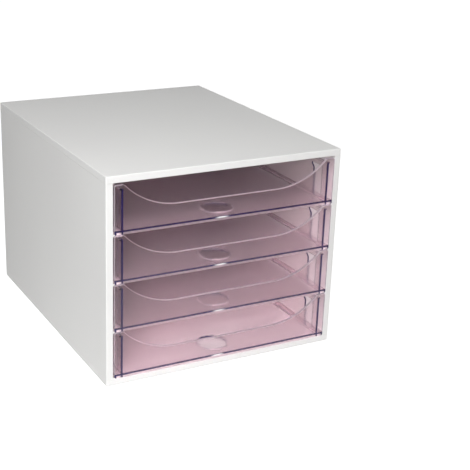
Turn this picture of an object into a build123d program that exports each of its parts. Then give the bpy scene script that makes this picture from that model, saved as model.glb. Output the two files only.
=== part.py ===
from build123d import *
import os

# Desktop drawer cabinet for A4+ papers, in millimetres.
# The origin is at the middle of the footprint on the table, +Z is up and the drawers open towards -Y.

# Case
case_width = 284.0
case_depth = 346.0
case_height = 236.2
panel_skin = 2.6
flange_thickness = 2.6
top_thickness = 7.8
base_thickness = 7.3
side_thickness = 7.7
back_thickness = 7.0
back_clearance = 0.2
case_edge_radius = 1.0
seam_chamfer = 0.3
rib_thickness = 1.8
rib_height = 3.2
rib_spacing = 88.0

# Tenons that join the side panels to the top and the base
tenon_count = 4
tenon_spacing = 94.0
tenon_length = 12.0
tenon_thickness = 3.0
tenon_height = 3.8
tenon_clearance = 0.1
tenon_end_clearance = 0.5
socket_wall = 1.4

# Tabs that hold the back panel behind the side panels' rear flanges
tab_count = 4
tab_spacing = 54.7
tab_height = 18.0
tab_reach = 3.6
tab_thickness = 2.4

# Feet
foot_diameter = 14.0
foot_height = 2.4
foot_proud = 0.8
foot_clearance = 0.1
foot_inset = 20.0
foot_boss_wall = 2.0

# Drawer fronts
drawer_count = 4
front_gap = 0.7
front_side_gap = 1.0
front_bottom_gap = 1.3
front_top_gap = 1.7
front_thickness = 2.5
front_proud = 2.0
front_corner_radius = 2.0
front_edge_chamfer = 0.6
scoop_shoulder = 10.8
scoop_depth = 27.6
scoop_radius = 85.0
scoop_shoulder_radius = 4.0

# Drawer trays
tray_length = 330.0
wall_thickness = 1.8
floor_thickness = 1.8
floor_lift = 2.7
wall_drop = 4.5
bead_out = 2.0
bead_height = 2.0
bead_radius = 0.6
corner_radius = 1.5
skid_inset = 0.4
skid_leg = 1.6
skid_channel = 5.8
skid_lift = 0.4
thumb_hole_diameter = 34.0
thumb_hole_setback = 26.7
thumb_rim_height = 1.2
thumb_rim_width = 1.8
thumb_rim_taper = 30.0
window_setback = 9.0
window_length = 16.0
window_sill = 0.5
window_band = 6.5
window_lean = 6.5
window_corner = 3.7
window_tip = 1.6

# Runners on the side panels and the base
runner_thickness = 2.4
runner_lap = 1.2
runner_clearance = 0.2
runner_back_gap = 1.0
guide_height = 2.0
guide_clearance = 0.9
stop_clearance = 0.3
drawer_travel = 250.0

# Levels and planes of the case
case_front = (front_proud - case_depth) / 2
case_back = case_front + case_depth
case_middle = (case_front + case_back) / 2
side_face = case_width / 2
opening_face = side_face - side_thickness
pocket_face = side_face - panel_skin
base_top = foot_proud + base_thickness
top_seat = foot_proud + case_height - top_thickness
case_top = foot_proud + case_height
opening_height = top_seat - base_top
opening_middle = (top_seat + base_top) / 2
tenon_x = side_face - side_thickness / 2
socket_thickness = tenon_thickness + 2 * tenon_clearance
socket_length = tenon_length + 2 * tenon_clearance
socket_height = tenon_height + tenon_end_clearance
back_face = case_back - back_thickness

# Levels and planes of the drawers
front_half = opening_face - front_side_gap
fronts_total = opening_height - front_bottom_gap - front_top_gap - (drawer_count - 1) * front_gap
front_height = fronts_total / drawer_count
drawer_pitch = front_height + front_gap
front_back = case_front - front_proud + front_thickness
tray_back = front_back + tray_length
leg_outer = front_half - skid_inset
leg_inner = leg_outer - skid_leg
wall_outer = leg_inner - skid_channel
wall_inner = wall_outer - wall_thickness
floor_top = floor_lift + floor_thickness
wall_top = front_height - wall_drop
rim_outer = wall_outer + bead_out
scoop_run = (scoop_depth * (2 * scoop_radius - scoop_depth)) ** 0.5
scoop_low = front_height - scoop_depth
thumb_rim_outer = thumb_hole_diameter / 2 + thumb_rim_width

# Levels and planes of the runners
lowest_front = base_top + front_bottom_gap
runner_level = skid_lift - runner_clearance
runner_inner = wall_outer - runner_lap
runner_front = front_back + stop_clearance
runner_back = back_face - runner_back_gap
guide_middle = wall_outer + skid_channel / 2
guide_width = skid_channel - 2 * guide_clearance
guide_back = tray_back - wall_thickness - drawer_travel - stop_clearance
runner_length = runner_back - runner_front
runner_middle = (runner_back + runner_front) / 2
guide_length = guide_back - runner_front
guide_centre = (guide_back + runner_front) / 2

os.makedirs("parts", exist_ok=True)

# Top panel: a shallow tray turned upside down, with ribs and tenon sockets underneath
with BuildPart() as top_panel:
    with BuildSketch(Plane.XY.offset(top_seat)):
        with Locations((0, case_middle)):
            Rectangle(case_width, case_depth)
    extrude(amount=top_thickness)
    fillet(top_panel.edges().filter_by(Axis.Z), case_edge_radius)
    fillet(top_panel.faces().sort_by(Axis.Z)[-1].edges(), case_edge_radius)
    chamfer(top_panel.faces().sort_by(Axis.Z)[0].edges(), seam_chamfer)
    with BuildSketch(Plane.XY.offset(top_seat)):
        with Locations((0, case_middle)):
            Rectangle(case_width - 2 * flange_thickness, case_depth - 2 * flange_thickness)
    extrude(amount=top_thickness - panel_skin, mode=Mode.SUBTRACT)
    with BuildSketch(Plane.XY.offset(case_top - panel_skin)):
        with Locations((0, case_middle)):
            with GridLocations(rib_spacing, 0, 3, 1):
                Rectangle(rib_thickness, case_depth - 2 * flange_thickness)
            with GridLocations(0, rib_spacing, 1, 3):
                Rectangle(case_width - 2 * flange_thickness, rib_thickness)
    extrude(amount=-rib_height)
    with BuildSketch(Plane.XY.offset(top_seat)):
        with Locations((0, case_middle)):
            with GridLocations(2 * tenon_x, tenon_spacing, 2, tenon_count):
                Rectangle(socket_thickness + 2 * socket_wall, socket_length + 2 * socket_wall)
    extrude(amount=top_thickness - panel_skin)
    with BuildSketch(Plane.XY.offset(top_seat)):
        with Locations((0, case_middle)):
            with GridLocations(2 * tenon_x, tenon_spacing, 2, tenon_count):
                Rectangle(socket_thickness, socket_length)
    extrude(amount=socket_height, mode=Mode.SUBTRACT)
top_panel.part.label = "top_panel"
export_step(top_panel.part, "parts/top_panel.step")

# Base panel: flat inside, ribbed underneath, with the runners of the lowest drawer and seats for the feet
with BuildPart() as base_panel:
    with BuildSketch(Plane.XY.offset(foot_proud)):
        with Locations((0, case_middle)):
            Rectangle(case_width, case_depth)
    extrude(amount=base_thickness)
    fillet(base_panel.edges().filter_by(Axis.Z), case_edge_radius)
    fillet(base_panel.faces().sort_by(Axis.Z)[0].edges(), case_edge_radius)
    chamfer(base_panel.faces().sort_by(Axis.Z)[-1].edges(), seam_chamfer)
    with BuildSketch(Plane.XY.offset(foot_proud)):
        with Locations((0, case_middle)):
            Rectangle(case_width - 2 * flange_thickness, case_depth - 2 * flange_thickness)
    extrude(amount=base_thickness - panel_skin, mode=Mode.SUBTRACT)
    with BuildSketch(Plane.XY.offset(base_top - panel_skin)):
        with Locations((0, case_middle)):
            with GridLocations(rib_spacing, 0, 3, 1):
                Rectangle(rib_thickness, case_depth - 2 * flange_thickness)
            with GridLocations(0, rib_spacing, 1, 3):
                Rectangle(case_width - 2 * flange_thickness, rib_thickness)
    extrude(amount=-rib_height)
    with BuildSketch(Plane.XY.offset(foot_proud)):
        with Locations((0, case_middle)):
            with GridLocations(2 * tenon_x, tenon_spacing, 2, tenon_count):
                Rectangle(socket_thickness + 2 * socket_wall, socket_length + 2 * socket_wall)
            with GridLocations(case_width - 2 * foot_inset, case_depth - 2 * foot_inset, 2, 2):
                Circle(foot_diameter / 2 + foot_clearance + foot_boss_wall)
    extrude(amount=base_thickness - panel_skin)
    with BuildSketch(Plane.XY.offset(base_top)):
        with Locations((0, case_middle)):
            with GridLocations(2 * tenon_x, tenon_spacing, 2, tenon_count):
                Rectangle(socket_thickness, socket_length)
    extrude(amount=-socket_height, mode=Mode.SUBTRACT)
    with BuildSketch(Plane.XY.offset(foot_proud)):
        with Locations((0, case_middle)):
            with GridLocations(case_width - 2 * foot_inset, case_depth - 2 * foot_inset, 2, 2):
                Circle(foot_diameter / 2 + foot_clearance)
    extrude(amount=foot_height - foot_proud, mode=Mode.SUBTRACT)
    with BuildSketch(Plane.XY.offset(base_top)):
        with Locations((0, runner_middle)):
            with GridLocations(opening_face + runner_inner, 0, 2, 1):
                Rectangle(opening_face - runner_inner, runner_length)
    extrude(amount=front_bottom_gap + runner_level)
    with BuildSketch(Plane.XY.offset(lowest_front + runner_level)):
        with Locations((0, guide_centre)):
            with GridLocations(2 * guide_middle, 0, 2, 1):
                Rectangle(guide_width, guide_length)
    extrude(amount=guide_height)
base_panel.part.label = "base_panel"
export_step(base_panel.part, "parts/base_panel.step")

# Right side panel: a flanged skin with a runner shelf for each upper drawer and tenons at both ends
with BuildPart() as right_side_panel:
    with BuildSketch(Plane.YZ.offset(opening_face)):
        with Locations((case_middle, opening_middle)):
            Rectangle(case_depth, opening_height)
    extrude(amount=side_thickness)
    outer_edges = right_side_panel.faces().sort_by(Axis.X)[-1].edges()
    fillet(outer_edges.filter_by(Axis.Z), case_edge_radius)
    with BuildSketch(Plane.YZ.offset(opening_face)):
        with Locations((case_middle, opening_middle)):
            Rectangle(case_depth - 2 * flange_thickness, opening_height - 2 * flange_thickness)
    extrude(amount=side_thickness - panel_skin, mode=Mode.SUBTRACT)
    for level in range(1, drawer_count):
        runner_top = lowest_front + level * drawer_pitch + runner_level
        with BuildSketch(Plane.XY.offset(runner_top)):
            with Locations(((pocket_face + runner_inner) / 2, runner_middle)):
                Rectangle(pocket_face - runner_inner, runner_length)
        extrude(amount=-runner_thickness)
        with BuildSketch(Plane.XY.offset(runner_top)):
            with Locations((guide_middle, guide_centre)):
                Rectangle(guide_width, guide_length)
        extrude(amount=guide_height)
    with BuildSketch(Plane.XY.offset(base_top - tenon_height)):
        with Locations((tenon_x, case_middle)):
            with GridLocations(0, tenon_spacing, 1, tenon_count):
                Rectangle(tenon_thickness, tenon_length)
    extrude(amount=tenon_height)
    with BuildSketch(Plane.XY.offset(top_seat)):
        with Locations((tenon_x, case_middle)):
            with GridLocations(0, tenon_spacing, 1, tenon_count):
                Rectangle(tenon_thickness, tenon_length)
    extrude(amount=tenon_height)
right_side_panel.part.label = "right_side_panel"
export_step(right_side_panel.part, "parts/right_side_panel.step")

# Left side panel: the mirror image of the right one
with BuildPart() as left_side_panel:
    mirror(right_side_panel.part, about=Plane.YZ)
left_side_panel.part.label = "left_side_panel"
export_step(left_side_panel.part, "parts/left_side_panel.step")

# Back panel: a flanged plate between the side panels, held by tabs behind their rear flanges
with BuildPart() as back_panel:
    with BuildSketch(Plane.XZ.offset(-case_back)):
        with Locations((0, opening_middle)):
            Rectangle(2 * (opening_face - back_clearance), opening_height - 2 * back_clearance)
    extrude(amount=back_thickness)
    chamfer(back_panel.faces().sort_by(Axis.Y)[-1].edges(), seam_chamfer)
    inner_width = 2 * (opening_face - back_clearance - flange_thickness)
    inner_height = opening_height - 2 * (back_clearance + flange_thickness)
    with BuildSketch(Plane.XZ.offset(-back_face)):
        with Locations((0, opening_middle)):
            Rectangle(inner_width, inner_height)
    extrude(amount=panel_skin - back_thickness, mode=Mode.SUBTRACT)
    with BuildSketch(Plane.XZ.offset(panel_skin - case_back)):
        with Locations((0, opening_middle)):
            with GridLocations(rib_spacing, 0, 2, 1):
                Rectangle(rib_thickness, inner_height)
    extrude(amount=rib_height)
    tab_width = tab_reach + flange_thickness
    tab_middle = opening_face - back_clearance - flange_thickness + tab_width / 2
    with BuildSketch(Plane.XZ.offset(flange_thickness + back_clearance - case_back)):
        with Locations((0, opening_middle)):
            with GridLocations(2 * tab_middle, tab_spacing, 2, tab_count):
                Rectangle(tab_width, tab_height)
    extrude(amount=tab_thickness)
back_panel.part.label = "back_panel"
export_step(back_panel.part, "parts/back_panel.step")

# Drawers, the first one at the top: a scooped front plate and a tray on two skids, moulded in one piece
for number in range(1, drawer_count + 1):
    front_base = lowest_front + (drawer_count - number) * drawer_pitch
    tray_plane = Plane.XZ.offset(-tray_back).shift_origin((0, tray_back, front_base))
    front_plane = Plane.XZ.offset(-front_back).shift_origin((0, front_back, front_base))
    with BuildPart() as drawer:
        with BuildSketch(front_plane):
            with BuildLine():
                left_shoulder = scoop_shoulder - front_half
                right_shoulder = front_half - scoop_shoulder
                Polyline(
                    (left_shoulder, front_height),
                    (-front_half, front_height),
                    (-front_half, 0),
                    (front_half, 0),
                    (front_half, front_height),
                    (right_shoulder, front_height),
                )
                scoop_right = (right_shoulder - scoop_run, scoop_low)
                scoop_left = (left_shoulder + scoop_run, scoop_low)
                RadiusArc((right_shoulder, front_height), scoop_right, scoop_radius)
                Line(scoop_right, scoop_left)
                RadiusArc(scoop_left, (left_shoulder, front_height), scoop_radius)
            make_face()
            corners = vertices().filter_by(lambda v: abs(abs(v.X) - front_half) < 0.01)
            fillet(corners, front_corner_radius)
            shoulders = vertices().filter_by(lambda v: abs(abs(v.X) - right_shoulder) < 0.01)
            fillet(shoulders, scoop_shoulder_radius)
        extrude(amount=front_thickness)
        chamfer(drawer.faces().sort_by(Axis.Y)[0].edges(), front_edge_chamfer)
        with BuildSketch(tray_plane):
            with BuildLine():
                Polyline(
                    (0, floor_lift),
                    (wall_inner, floor_lift),
                    (wall_inner, skid_lift),
                    (wall_outer, skid_lift),
                    (wall_outer, floor_lift),
                    (leg_inner, floor_lift),
                    (leg_inner, skid_lift),
                    (leg_outer, skid_lift),
                    (leg_outer, floor_top),
                    (wall_outer, floor_top),
                    (wall_outer, wall_top - bead_height),
                    (rim_outer, wall_top - bead_height),
                    (rim_outer, wall_top),
                    (wall_inner, wall_top),
                    (wall_inner, floor_top),
                    (0, floor_top),
                )
                mirror(about=Plane.YZ)
            make_face()
            rim_corners = vertices().filter_by(lambda v: abs(abs(v.X) - rim_outer) < 0.01)
            fillet(rim_corners, bead_radius)
            floor_corners = vertices().filter_by(
                lambda v: abs(abs(v.X) - wall_inner) < 0.01 and abs(v.Y - floor_top) < 0.01
            )
            fillet(floor_corners, corner_radius)
        extrude(amount=tray_length)
        with BuildSketch(tray_plane):
            with Locations((0, skid_lift)):
                Rectangle(2 * wall_outer, wall_top - skid_lift, align=(Align.CENTER, Align.MIN))
                Rectangle(2 * leg_outer, floor_top - skid_lift, align=(Align.CENTER, Align.MIN))
        extrude(amount=wall_thickness)
        with BuildSketch(tray_plane):
            with Locations((0, wall_top)):
                Rectangle(2 * rim_outer, bead_height, align=(Align.CENTER, Align.MAX))
        extrude(amount=-bead_out)
        with BuildSketch(Plane.XY.offset(front_base + floor_top)):
            with Locations((0, front_back + thumb_hole_setback)):
                Circle(thumb_rim_outer)
        extrude(amount=thumb_rim_height, taper=thumb_rim_taper)
        with BuildSketch(Plane.XY.offset(front_base + floor_lift)):
            with Locations((0, front_back + thumb_hole_setback)):
                Circle(thumb_hole_diameter / 2)
        extrude(amount=floor_thickness + thumb_rim_height, mode=Mode.SUBTRACT)
        sill = front_base + floor_top + window_sill
        head = front_base + wall_top - window_band
        window_front = front_back + window_setback
        window_back = window_front + window_length
        with BuildSketch(Plane.YZ):
            with BuildLine():
                Polyline(
                    (window_front, sill),
                    (window_back, sill),
                    (window_back, head - window_lean),
                    (window_back + window_lean, head),
                    (window_front, head),
                    close=True,
                )
            make_face()
            fillet(vertices().sort_by(Axis.X)[-1], window_tip)
            fillet(vertices().sort_by(Axis.X)[:-2], window_corner)
        extrude(amount=wall_outer, both=True, mode=Mode.SUBTRACT)
    drawer.part.label = f"drawer_{number}"
    export_step(drawer.part, f"parts/drawer_{number}.step")

# Feet: anti-slip pads set into the base
for row, row_y in (("front", case_front + foot_inset), ("back", case_back - foot_inset)):
    for column, column_x in (("left", foot_inset - side_face), ("right", side_face - foot_inset)):
        with BuildPart() as foot:
            with BuildSketch():
                with Locations((column_x, row_y)):
                    Circle(foot_diameter / 2)
            extrude(amount=foot_height)
        foot.part.label = f"foot_{row}_{column}"
        export_step(foot.part, f"parts/foot_{row}_{column}.step")
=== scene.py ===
# %% [markdown]
# # A desktop drawer cabinet
# The cabinet is a pale grey case with four shallow drawers moulded from clear, mauve-tinted plastic.
# Its shape comes finished from the CAD model, so this lesson is about what the eye still needs: the
# materials, the soft light of a product photograph and a camera in the right place.

# %% Load the CAD model as a fixed frame
import math
import bpy
from mathutils import Matrix, Vector


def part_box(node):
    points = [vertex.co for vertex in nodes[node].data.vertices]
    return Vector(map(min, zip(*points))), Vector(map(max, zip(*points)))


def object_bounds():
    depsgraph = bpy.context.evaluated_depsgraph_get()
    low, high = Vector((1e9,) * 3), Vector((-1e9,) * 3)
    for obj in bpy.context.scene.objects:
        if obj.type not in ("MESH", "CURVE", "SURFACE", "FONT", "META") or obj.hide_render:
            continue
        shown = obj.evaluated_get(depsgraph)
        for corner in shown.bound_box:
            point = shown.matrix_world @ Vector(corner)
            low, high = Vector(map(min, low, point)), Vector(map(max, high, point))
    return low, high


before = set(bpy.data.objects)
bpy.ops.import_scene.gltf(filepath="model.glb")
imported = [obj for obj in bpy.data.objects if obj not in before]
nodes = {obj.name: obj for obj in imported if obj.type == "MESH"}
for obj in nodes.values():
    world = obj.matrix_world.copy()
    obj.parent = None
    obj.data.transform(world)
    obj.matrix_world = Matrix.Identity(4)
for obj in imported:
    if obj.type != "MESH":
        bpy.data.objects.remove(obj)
cad_low, cad_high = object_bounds()
MM = 0.001
print("CAD nodes:", len(nodes), "box in mm:", [round(v / MM, 1) for v in cad_high - cad_low])

# %% [markdown]
# ## Helpers for the materials
# Colours are written as the sRGB hex values that a paint program shows, and Blender's shaders work in linear
# light, so one function converts them. A second one adds a shader node, sets it and wires it. The same nodes
# could be drawn by hand in the shader editor, but a script can be read from top to bottom and run again.

# %% Colour and node helpers


def linear(hex_colour):
    """A hex colour such as #d5d5d5 as linear red, green, blue and alpha."""
    channels = [int(hex_colour[i:i + 2], 16) / 255 for i in (1, 3, 5)]
    values = [c / 12.92 if c <= 0.04045 else ((c + 0.055) / 1.055) ** 2.4 for c in channels]
    return (*values, 1.0)


def add_node(tree, kind, inputs=None, **settings):
    """Adds one node. Settings are its properties, and an input is a value or the socket that feeds it."""
    node = tree.nodes.new(kind)
    for name, value in settings.items():
        setattr(node, name, value)
    for name, value in (inputs or {}).items():
        if isinstance(value, bpy.types.NodeSocket):
            tree.links.new(value, node.inputs[name])
        else:
            node.inputs[name].default_value = value
    return node


def empty_material(name):
    """A new material and its node tree, with no node in it yet."""
    material = bpy.data.materials.new(name)
    material.use_nodes = True
    material.node_tree.nodes.clear()
    return material, material.node_tree


def paint(node_names, material):
    """Gives every face of the named CAD nodes this material."""
    for name in node_names:
        slots = nodes[name].data.materials
        slots.clear()
        slots.append(material)
    print(material.name, "on", ", ".join(node_names))


print("middle grey #808080 in linear light:", [round(v, 3) for v in linear("#808080")])

# %% [markdown]
# ## The case: pale grey polystyrene from a fine-sparked mould
# The panels are injection moulded in a tool whose walls were spark eroded, so the skin has a grain of about
# 0.3 mm. That grain scatters the light, which gives a soft matte face with no mirror image in it. A plain
# colour would look like paper, so the roughness and the height follow a noise of that grain, and a slow
# noise moves the grey a little, as real regrind does.

# %% Case material
case_plastic, tree = empty_material("polystyrene_pale_grey_spark_grained")
place = add_node(tree, "ShaderNodeTexCoord").outputs["Object"]
# Grain of 0.3 mm is finer than a pixel here, so it is drawn at 1.4 mm to show at all.
grain_size = 1.4 * MM
grain = add_node(tree, "ShaderNodeTexNoise", {"Vector": place, "Scale": 1 / grain_size, "Detail": 2.0})
# Slow colour drift across a panel, about 160 mm from one tone to the next.
drift_size = 160 * MM
drift = add_node(tree, "ShaderNodeTexNoise", {"Vector": place, "Scale": 1 / drift_size, "Detail": 1.0})
tone = add_node(
    tree, "ShaderNodeMix",
    {"Factor": drift.outputs["Fac"], "A": linear("#e4e4e2"), "B": linear("#dedddc")},
    data_type="RGBA",
)
gloss = add_node(
    tree, "ShaderNodeMapRange",
    {"Value": grain.outputs["Fac"], "From Min": 0.3, "From Max": 0.7, "To Min": 0.46, "To Max": 0.58},
)
bump = add_node(
    tree, "ShaderNodeBump",
    {"Height": grain.outputs["Fac"], "Strength": 0.06, "Distance": 0.05 * MM},
)
skin = add_node(
    tree, "ShaderNodeBsdfPrincipled",
    {
        "Base Color": tone.outputs["Result"],
        "Roughness": gloss.outputs["Result"],
        "Normal": bump.outputs["Normal"],
        "IOR": 1.57,
    },
)
add_node(tree, "ShaderNodeOutputMaterial", {"Surface": skin.outputs["BSDF"]})
paint(["top_panel", "base_panel", "left_side_panel", "right_side_panel", "back_panel"], case_plastic)

# %% [markdown]
# ## The drawers: where their faces are
# The drawers are clear mouldings, and six kinds of face look different from a plain wall. The tray floors
# are lightly frosted. The front plates have a touch of satin, so that what lies far behind them is blurred.
# Their foot is matt and pale, and their upper rims are matt with a pale painted sheen where the edges catch
# light. Where walls, floors and skids are seen end-on, and at the ends of a front plate, dark indigo lines
# are painted shade, and in front of the finger hole a white glint is a painted highlight.
# Each kind could have a material slot of its own, but the CAD mesh stays as it is. So the material finds a
# kind of face by itself, from where the face lies and which way it looks.

# %% Sizes of a drawer
# The four drawers are alike and one pitch apart, so the lowest one gives the sizes of all.
foot_corner, top_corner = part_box("drawer_4")
drawer_pitch = round(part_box("drawer_3")[0].z - foot_corner.z, 5)
plate_half = top_corner.x
plate_height = top_corner.z - foot_corner.z
plate_chamfer = 0.6 * MM
# The front plate is 2.5 mm thick, and a little more takes in its rear face.
plate_rear = foot_corner.y + 2.7 * MM
# Walls, skids and tray floor show as lines of painted shade behind it:
# the middle of each, half its width and where it ends.
wall_middle, wall_line, wall_top = plate_half - 8.7 * MM, 0.85 * MM, plate_height - 4.5 * MM
skid_middle, skid_line, skid_top = plate_half - 1.2 * MM, 1.0 * MM, 4.5 * MM
floor_middle, floor_line = 3.6 * MM, 0.75 * MM
foot_top = 2.6 * MM
# The painted glint, a white highlight, lies a little to the left of the finger hole's middle, and fades on
# both sides.
painted_glint_middle, painted_glint_full, painted_glint_end = -8.0 * MM, 3.0 * MM, 9.0 * MM
print("front plate in mm:", round(2 * plate_half / MM, 1), "by", round(plate_height / MM, 1))
print("drawer pitch in mm:", round(drawer_pitch / MM, 1))

# %% Drawer material: the kinds of face
drawer_plastic, tree = empty_material("polystyrene_clear_mauve_polished")
point = add_node(tree, "ShaderNodeTexCoord").outputs
place = point["Object"]
spot = add_node(tree, "ShaderNodeSeparateXYZ", {"Vector": place}).outputs
facing = add_node(tree, "ShaderNodeSeparateXYZ", {"Vector": point["Normal"]}).outputs
# Level faces are the tray floors, which are finely grained so that paper does not cling to them.
steep = add_node(tree, "ShaderNodeMath", {0: facing["Z"]}, operation="ABSOLUTE").outputs["Value"]
level_face = add_node(tree, "ShaderNodeMapRange", {"Value": steep, "From Min": 0.9, "From Max": 0.98})
beside = add_node(tree, "ShaderNodeMath", {0: spot["X"], 1: painted_glint_middle}, operation="SUBTRACT")
distance = add_node(tree, "ShaderNodeMath", {0: beside.outputs["Value"]}, operation="ABSOLUTE")
painted_glint_fade = add_node(
    tree, "ShaderNodeMapRange",
    {
        "Value": distance.outputs["Value"], "From Min": painted_glint_full, "From Max": painted_glint_end,
        "To Min": 1.0, "To Max": 0.0,
    },
)
found = {
    "x": spot["X"], "y": spot["Y"], "z": spot["Z"], "facing_y": facing["Y"], "facing_z": facing["Z"],
    "level_face": level_face.outputs["Result"], "painted_glint_fade": painted_glint_fade.outputs["Result"],
}
# Each row is one sum or test: the name of its result, what it does, and its terms by name or as numbers.
sums = (
    ("front_plate", "LESS_THAN", "y", plate_rear),
    # A rim looks up, and it is either on a front plate or aslant, as the ring around the finger hole is.
    ("not_level", "SUBTRACT", 1.0, "level_face"),
    ("rim_place", "MAXIMUM", "front_plate", "not_level"),
    ("looks_up", "GREATER_THAN", "facing_z", 0.25),
    # The rims get a pale painted sheen in place of the light that their edges catch.
    ("painted_rim_sheen", "MULTIPLY", "rim_place", "looks_up"),
    # How far a point is from the middle, and how high above the foot of its own drawer.
    ("side", "ABSOLUTE", "x"),
    ("height", "SUBTRACT", "z", foot_corner.z),
    ("lift", "FLOORED_MODULO", "height", drawer_pitch),
    # Walls, floor and skids run hundreds of millimetres deep, and a face that looks along them sees it all,
    # so there dark indigo is painted as shade in place of the light lost on that long way.
    ("wall_place", "COMPARE", "side", wall_middle, wall_line),
    ("under_bead", "LESS_THAN", "lift", wall_top),
    ("wall", "MULTIPLY", "wall_place", "under_bead"),
    ("skid_place", "COMPARE", "side", skid_middle, skid_line),
    ("under_floor", "LESS_THAN", "lift", skid_top),
    ("skid", "MULTIPLY", "skid_place", "under_floor"),
    ("tray_floor", "COMPARE", "lift", floor_middle, floor_line),
    ("wall_or_skid", "MAXIMUM", "wall", "skid"),
    ("deep_piece", "MAXIMUM", "tray_floor", "wall_or_skid"),
    ("forward", "ABSOLUTE", "facing_y"),
    ("looks_along", "GREATER_THAN", "forward", 0.3),
    ("deep_end", "MULTIPLY", "deep_piece", "looks_along"),
    # At the ends and the shoulders of a front plate the painted shade is half as dark, because the plate is
    # short that way.
    ("plate_side", "GREATER_THAN", "side", plate_half - plate_chamfer),
    ("plate_top", "GREATER_THAN", "lift", plate_height - plate_chamfer),
    ("plate_edge", "MAXIMUM", "plate_side", "plate_top"),
    ("plate_end", "MULTIPLY", "plate_edge", "front_plate"),
    ("half_painted_shade", "MULTIPLY", "plate_end", 0.5),
    ("end_on_painted_shade", "MAXIMUM", "deep_end", "half_painted_shade"),
    # Under the tray floor the front plate ends in a pale foot.
    ("low", "LESS_THAN", "lift", foot_top),
    ("foot_band", "MULTIPLY", "front_plate", "low"),
    # Painted highlight: in front of the finger hole the floor is only 10 mm deep, so its end is painted
    # bright there and not dark.
    ("floor_end", "MULTIPLY", "tray_floor", "front_plate"),
    ("painted_glint", "MULTIPLY", "painted_glint_fade", "floor_end"),
)
for result, operation, *terms in sums:
    wires = {i: found.get(term, term) for i, term in enumerate(terms)}
    found[result] = add_node(tree, "ShaderNodeMath", wires, operation=operation).outputs["Value"]
print("sums and tests that sort the drawer faces:", len(sums))

# %% [markdown]
# ## The drawers: clear polystyrene with a mauve tint
# They come from a polished mould, so light goes straight through the walls, and each wall leaves it a little
# more mauve. A tinted glass shader alone would colour thick and thin the same. Here the tint is the base
# colour of a transmitting surface, and a volume takes away more on a long way.

# %% Drawer material: the plastic
# Flow waves from filling the mould, about 24 mm long and less than a hundredth of a millimetre high.
wave_size = 24 * MM
waves = add_node(tree, "ShaderNodeTexNoise", {"Vector": place, "Scale": 1 / wave_size, "Detail": 1.5})
sway = add_node(
    tree, "ShaderNodeBump",
    {"Height": waves.outputs["Fac"], "Strength": 0.04, "Distance": 0.2 * MM},
)
# Handling scuffs of about 6 mm dull the polish a little.
scuff_size = 6 * MM
scuffs = add_node(tree, "ShaderNodeTexNoise", {"Vector": place, "Scale": 1 / scuff_size, "Detail": 3.0})
polish = add_node(
    tree, "ShaderNodeMapRange",
    {"Value": scuffs.outputs["Fac"], "From Min": 0.35, "From Max": 0.75, "To Min": 0.02, "To Max": 0.07},
)
# Each kind of face changes the polished wall: its roughness, its tint and the share of light let through.
# Where two kinds meet, the later row covers the earlier one.
kinds_of_face = (
    ("level_face", 0.22, "#fff5f6", 0.925),
    ("front_plate", 0.16, "#f9eff0", 1.0),
    ("foot_band", 0.3, "#f6e8ea", 0.9),
    # Painted sheen: pale, partly diffuse rims stand in for the highlights on edges and on the finger-hole
    # ring.
    ("painted_rim_sheen", 0.4, "#f6e8ea", 0.76),
    # Painted shade: dark indigo, nearly opaque, where walls, floors and skids are seen end-on.
    ("end_on_painted_shade", 0.1, "#2c2450", 0.1),
    # Painted highlight: a white spot on the floor's end in front of the finger hole.
    ("painted_glint", 0.2, "#ffffff", 0.1),
)
roughness, tint, clarity = polish.outputs["Result"], linear("#f9f0f0"), 1.0
for face, face_roughness, face_tint, face_clarity in kinds_of_face:
    mix = {"Factor": found[face], "A": roughness, "B": face_roughness}
    roughness = add_node(tree, "ShaderNodeMix", mix).outputs["Result"]
    mix = {"Factor": found[face], "A": tint, "B": linear(face_tint)}
    tint = add_node(tree, "ShaderNodeMix", mix, data_type="RGBA").outputs["Result"]
    mix = {"Factor": found[face], "A": clarity, "B": face_clarity}
    clarity = add_node(tree, "ShaderNodeMix", mix).outputs["Result"]
clear = add_node(
    tree, "ShaderNodeBsdfPrincipled",
    {
        "Base Color": tint,
        "Roughness": roughness,
        "Transmission Weight": clarity,
        "Normal": sway.outputs["Normal"],
        "IOR": 1.59,
    },
)
# Lamps shine through the walls: a shadow ray meets a tinted, unbent surface in place of the glossy one.
lamp_light = add_node(tree, "ShaderNodeBsdfTransparent", {"Color": linear("#fdf9f9")})
ray_kind = add_node(tree, "ShaderNodeLightPath").outputs
surface = add_node(
    tree, "ShaderNodeMixShader",
    {"Fac": ray_kind["Is Shadow Ray"], 1: clear.outputs["BSDF"], 2: lamp_light.outputs["BSDF"]},
)
# The density is per metre: a wall takes away a few percent, and the length of a tray nearly all.
depth = add_node(tree, "ShaderNodeVolumeAbsorption", {"Color": linear("#9759b3"), "Density": 29.0})
add_node(
    tree, "ShaderNodeOutputMaterial",
    {"Surface": surface.outputs["Shader"], "Volume": depth.outputs["Volume"]},
)
paint(["drawer_1", "drawer_2", "drawer_3", "drawer_4"], drawer_plastic)

# %% Light paths
# Light runs a long zigzag inside a clear plate before it leaves at the rim, so its path needs many turns.
light_paths = bpy.context.scene.cycles
light_paths.max_bounces = 40
light_paths.transmission_bounces = 40
light_paths.glossy_bounces = 16
light_paths.transparent_max_bounces = 32
print("turns of a light path:", light_paths.max_bounces)

# %% [markdown]
# ## The feet: black rubber pads
# Four pads keep the case from slipping. Rubber pressed in a mould is dark, dull and slightly dusty, so its
# roughness is high and a fine speckle lifts the black here and there. A flat black would look like a hole.

# %% Foot material
foot_rubber, tree = empty_material("rubber_black_pressed")
place = add_node(tree, "ShaderNodeTexCoord").outputs["Object"]
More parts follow.
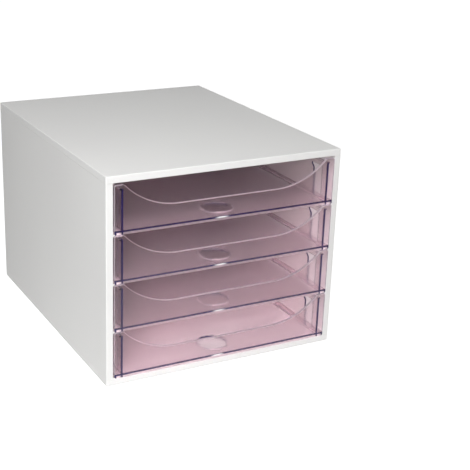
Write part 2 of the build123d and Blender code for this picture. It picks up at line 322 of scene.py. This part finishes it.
# Dust and pores of 0.1 mm are too fine to show, so they are drawn at 0.8 mm.
speckle_size = 0.8 * MM
speckle = add_node(tree, "ShaderNodeTexNoise", {"Vector": place, "Scale": 1 / speckle_size, "Detail": 3.0})
dust = add_node(tree, "ShaderNodeValToRGB", {"Fac": speckle.outputs["Fac"]})
for stop, position, colour in zip(dust.color_ramp.elements, (0.45, 0.8), ("#1b1b1c", "#3a3a3b")):
    stop.position = position
    stop.color = linear(colour)
pores = add_node(
    tree, "ShaderNodeBump",
    {"Height": speckle.outputs["Fac"], "Strength": 0.2, "Distance": 0.1 * MM},
)
rubber = add_node(
    tree, "ShaderNodeBsdfPrincipled",
    {
        "Base Color": dust.outputs["Color"],
        "Normal": pores.outputs["Normal"],
        "Roughness": 0.85,
        "IOR": 1.52,
    },
)
add_node(tree, "ShaderNodeOutputMaterial", {"Surface": rubber.outputs["BSDF"]})
paint(["foot_front_left", "foot_front_right", "foot_back_left", "foot_back_right"], foot_rubber)

# %% [markdown]
# ## Floor
# The cabinet stands on a white paper sweep. A curved sheet would do, but the picture shows no bend, so a
# large plain plane catches the shadow. To the camera it is lit paper with a glow that lifts it to white, and
# through a clear drawer it is the white paper as the lamps light it, so that the tint shows.

# %% White floor
floor_reach = 4.0
floor_gap = 0.5 * MM
corners = [(floor_reach * x, floor_reach * y, 0) for x, y in ((-1, -1), (1, -1), (1, 1), (-1, 1))]
floor_mesh = bpy.data.meshes.new("floor")
floor_mesh.from_pydata(corners, [], [(0, 1, 2, 3)])
floor = bpy.data.objects.new("floor", floor_mesh)
floor.location.z = -floor_gap
bpy.context.scene.collection.objects.link(floor)
floor_paper, tree = empty_material("paper_sweep_white")
paper = add_node(tree, "ShaderNodeBsdfPrincipled", {"Base Color": linear("#f4f4f4"), "Roughness": 0.9})
glow = add_node(tree, "ShaderNodeEmission", {"Color": linear("#ffffff"), "Strength": 0.78})
direct_floor = add_node(
    tree, "ShaderNodeAddShader", {0: paper.outputs["BSDF"], 1: glow.outputs["Emission"]},
)
# In reflections, and for the light that it throws back, the paper fades out 0.19 to 0.45 m in front of the
# drawers, and beyond it the room is dark.
fade_start = cad_low.y - 0.186
fade_end = cad_low.y - 0.446
place = add_node(tree, "ShaderNodeTexCoord").outputs["Object"]
spot = add_node(tree, "ShaderNodeSeparateXYZ", {"Vector": place}).outputs
sheet = add_node(
    tree, "ShaderNodeMapRange",
    {"Value": spot["Y"], "From Min": fade_end, "From Max": fade_start, "To Min": 0.05, "To Max": 0.85},
)
faded_floor = add_node(tree, "ShaderNodeBsdfDiffuse", {"Color": sheet.outputs["Result"]})
ray_kind = add_node(tree, "ShaderNodeLightPath").outputs
indirect_floor = add_node(
    tree, "ShaderNodeMixShader",
    {"Fac": ray_kind["Is Transmission Ray"], 1: faded_floor.outputs["BSDF"], 2: paper.outputs["BSDF"]},
)
whole_floor = add_node(
    tree, "ShaderNodeMixShader",
    {
        "Fac": ray_kind["Is Camera Ray"],
        1: indirect_floor.outputs["Shader"],
        2: direct_floor.outputs["Shader"],
    },
)
add_node(tree, "ShaderNodeOutputMaterial", {"Surface": whole_floor.outputs["Shader"]})
floor_mesh.materials.append(floor_paper)
print("floor", 2 * floor_reach, "m wide,", floor_gap / MM, "mm under the feet")

# %% [markdown]
# ## Surroundings
# A white backdrop stands behind the cabinet, and the room in front of it is dim, so the fronts mirror little
# of it. One plain white world would be simpler, but it would light the case flat. So the world is white for
# the camera, through the drawers and, behind the cabinet, in reflections, and the light that it gives is set
# on its own, lower level.

# %% White surroundings
world = bpy.data.worlds.new("white_room")
bpy.context.scene.world = world
world.use_nodes = True
tree = world.node_tree
tree.nodes.clear()
ray_kind = add_node(tree, "ShaderNodeLightPath").outputs
heading = add_node(tree, "ShaderNodeTexCoord").outputs["Generated"]
direction = add_node(tree, "ShaderNodeSeparateXYZ", {"Vector": heading}).outputs
behind = add_node(
    tree, "ShaderNodeMapRange",
    {"Value": direction["Y"], "From Min": -0.25, "From Max": 0.25, "To Min": 0.0, "To Max": 1.0},
)
mirrored = add_node(
    tree, "ShaderNodeMath",
    {0: ray_kind["Is Glossy Ray"], 1: behind.outputs["Result"]},
    operation="MULTIPLY",
)
seen = mirrored.outputs["Value"]
for kind_of_ray in ("Is Camera Ray", "Is Transmission Ray"):
    either = {0: seen, 1: ray_kind[kind_of_ray]}
    seen = add_node(tree, "ShaderNodeMath", either, operation="MAXIMUM").outputs["Value"]
ambient, dim, white = 0.25, 0.06, 1.0
room = add_node(
    tree, "ShaderNodeMapRange",
    {"Value": ray_kind["Is Glossy Ray"], "To Min": ambient, "To Max": dim},
)
strength = add_node(tree, "ShaderNodeMix", {"Factor": seen, "A": room.outputs["Result"], "B": white})
sky = add_node(
    tree, "ShaderNodeBackground",
    {"Color": linear("#ffffff"), "Strength": strength.outputs["Result"]},
)
add_node(tree, "ShaderNodeOutputWorld", {"Surface": sky.outputs["Background"]})
print("ambient light", ambient, "and dim room in reflections", dim)

# %% [markdown]
# ## Light
# The photograph has a large soft light in front, to the left: the front frame is the brightest face, the top
# fades towards the back and the left side is even. A sun lamp would give hard shadows. One large soft box
# gives the soft ones, a smaller one above helps the top, and the white room fills the rest. A third, low one
# stands behind, for a look at the back.

# %% Soft boxes


def soft_box(name, place, aim, width, power):
    """A square area lamp at place, turned to aim."""
    lamp = bpy.data.lights.new(name, "AREA")
    lamp.size = width
    lamp.energy = power
    holder = bpy.data.objects.new(name, lamp)
    holder.location = place
    holder.rotation_mode = "QUATERNION"
    holder.rotation_quaternion = (Vector(aim) - Vector(place)).to_track_quat("-Z", "Y")
    bpy.context.scene.collection.objects.link(holder)
    print(name, "lamp", power, "W")
    return holder


case_middle = (0.0, 0.0, 0.12)
soft_box("front_soft_box", place=(-0.66, -1.33, 0.57), aim=case_middle, width=0.84, power=13.2)
soft_box("top_soft_box", place=(-0.4, -0.6, 0.84), aim=case_middle, width=0.35, power=4.8)
# A low lamp behind shows the back and the right side to whoever walks around the cabinet.
back_lamp = soft_box("back_soft_box", place=(0.72, 1.0, 0.13), aim=case_middle, width=0.24, power=8.0)
# It leaves the floor out: close to the lamp the paper would be too bright for a clean edge in front of it.
past_the_beam = bpy.data.collections.new("past_the_back_beam")
past_the_beam.objects.link(floor)
past_the_beam.collection_objects[0].light_linking.link_state = "EXCLUDE"
back_lamp.light_linking.receiver_collection = past_the_beam

# %% [markdown]
# ## Camera
# The camera stands in front, to the left and above the cabinet. It could be placed by eye, but its place and
# lens were solved from the seven corners of the case that the photograph shows, which is closer. A small
# shift frames the cabinet to the left of the middle.

# %% Camera
yaw, pitch, roll = (math.radians(angle) for angle in (27.807, 19.925, 1.602))
camera_place = (-0.54086, -1.12791, 0.55891)
photo_pixels, focal_pixels = 470, 1078.93
film_width = 36.0
ahead = Vector((math.sin(yaw) * math.cos(pitch), math.cos(yaw) * math.cos(pitch), -math.sin(pitch)))
level = Vector((math.cos(yaw), -math.sin(yaw), 0.0))
over = level.cross(ahead)
right = level * math.cos(roll) + over * math.sin(roll)
up = over * math.cos(roll) - level * math.sin(roll)
turn = Matrix((right, up, -ahead)).transposed().to_4x4()
lens = bpy.data.cameras.new("camera")
lens.sensor_width = film_width
lens.lens = film_width * focal_pixels / photo_pixels
lens.shift_x = 0.08
lens.shift_y = -0.0136
camera = bpy.data.objects.new("camera", lens)
camera.matrix_world = Matrix.Translation(camera_place) @ turn
bpy.context.scene.collection.objects.link(camera)
bpy.context.scene.camera = camera
bpy.context.scene.view_settings.view_transform = "Standard"
print("camera lens", round(lens.lens, 1), "mm")
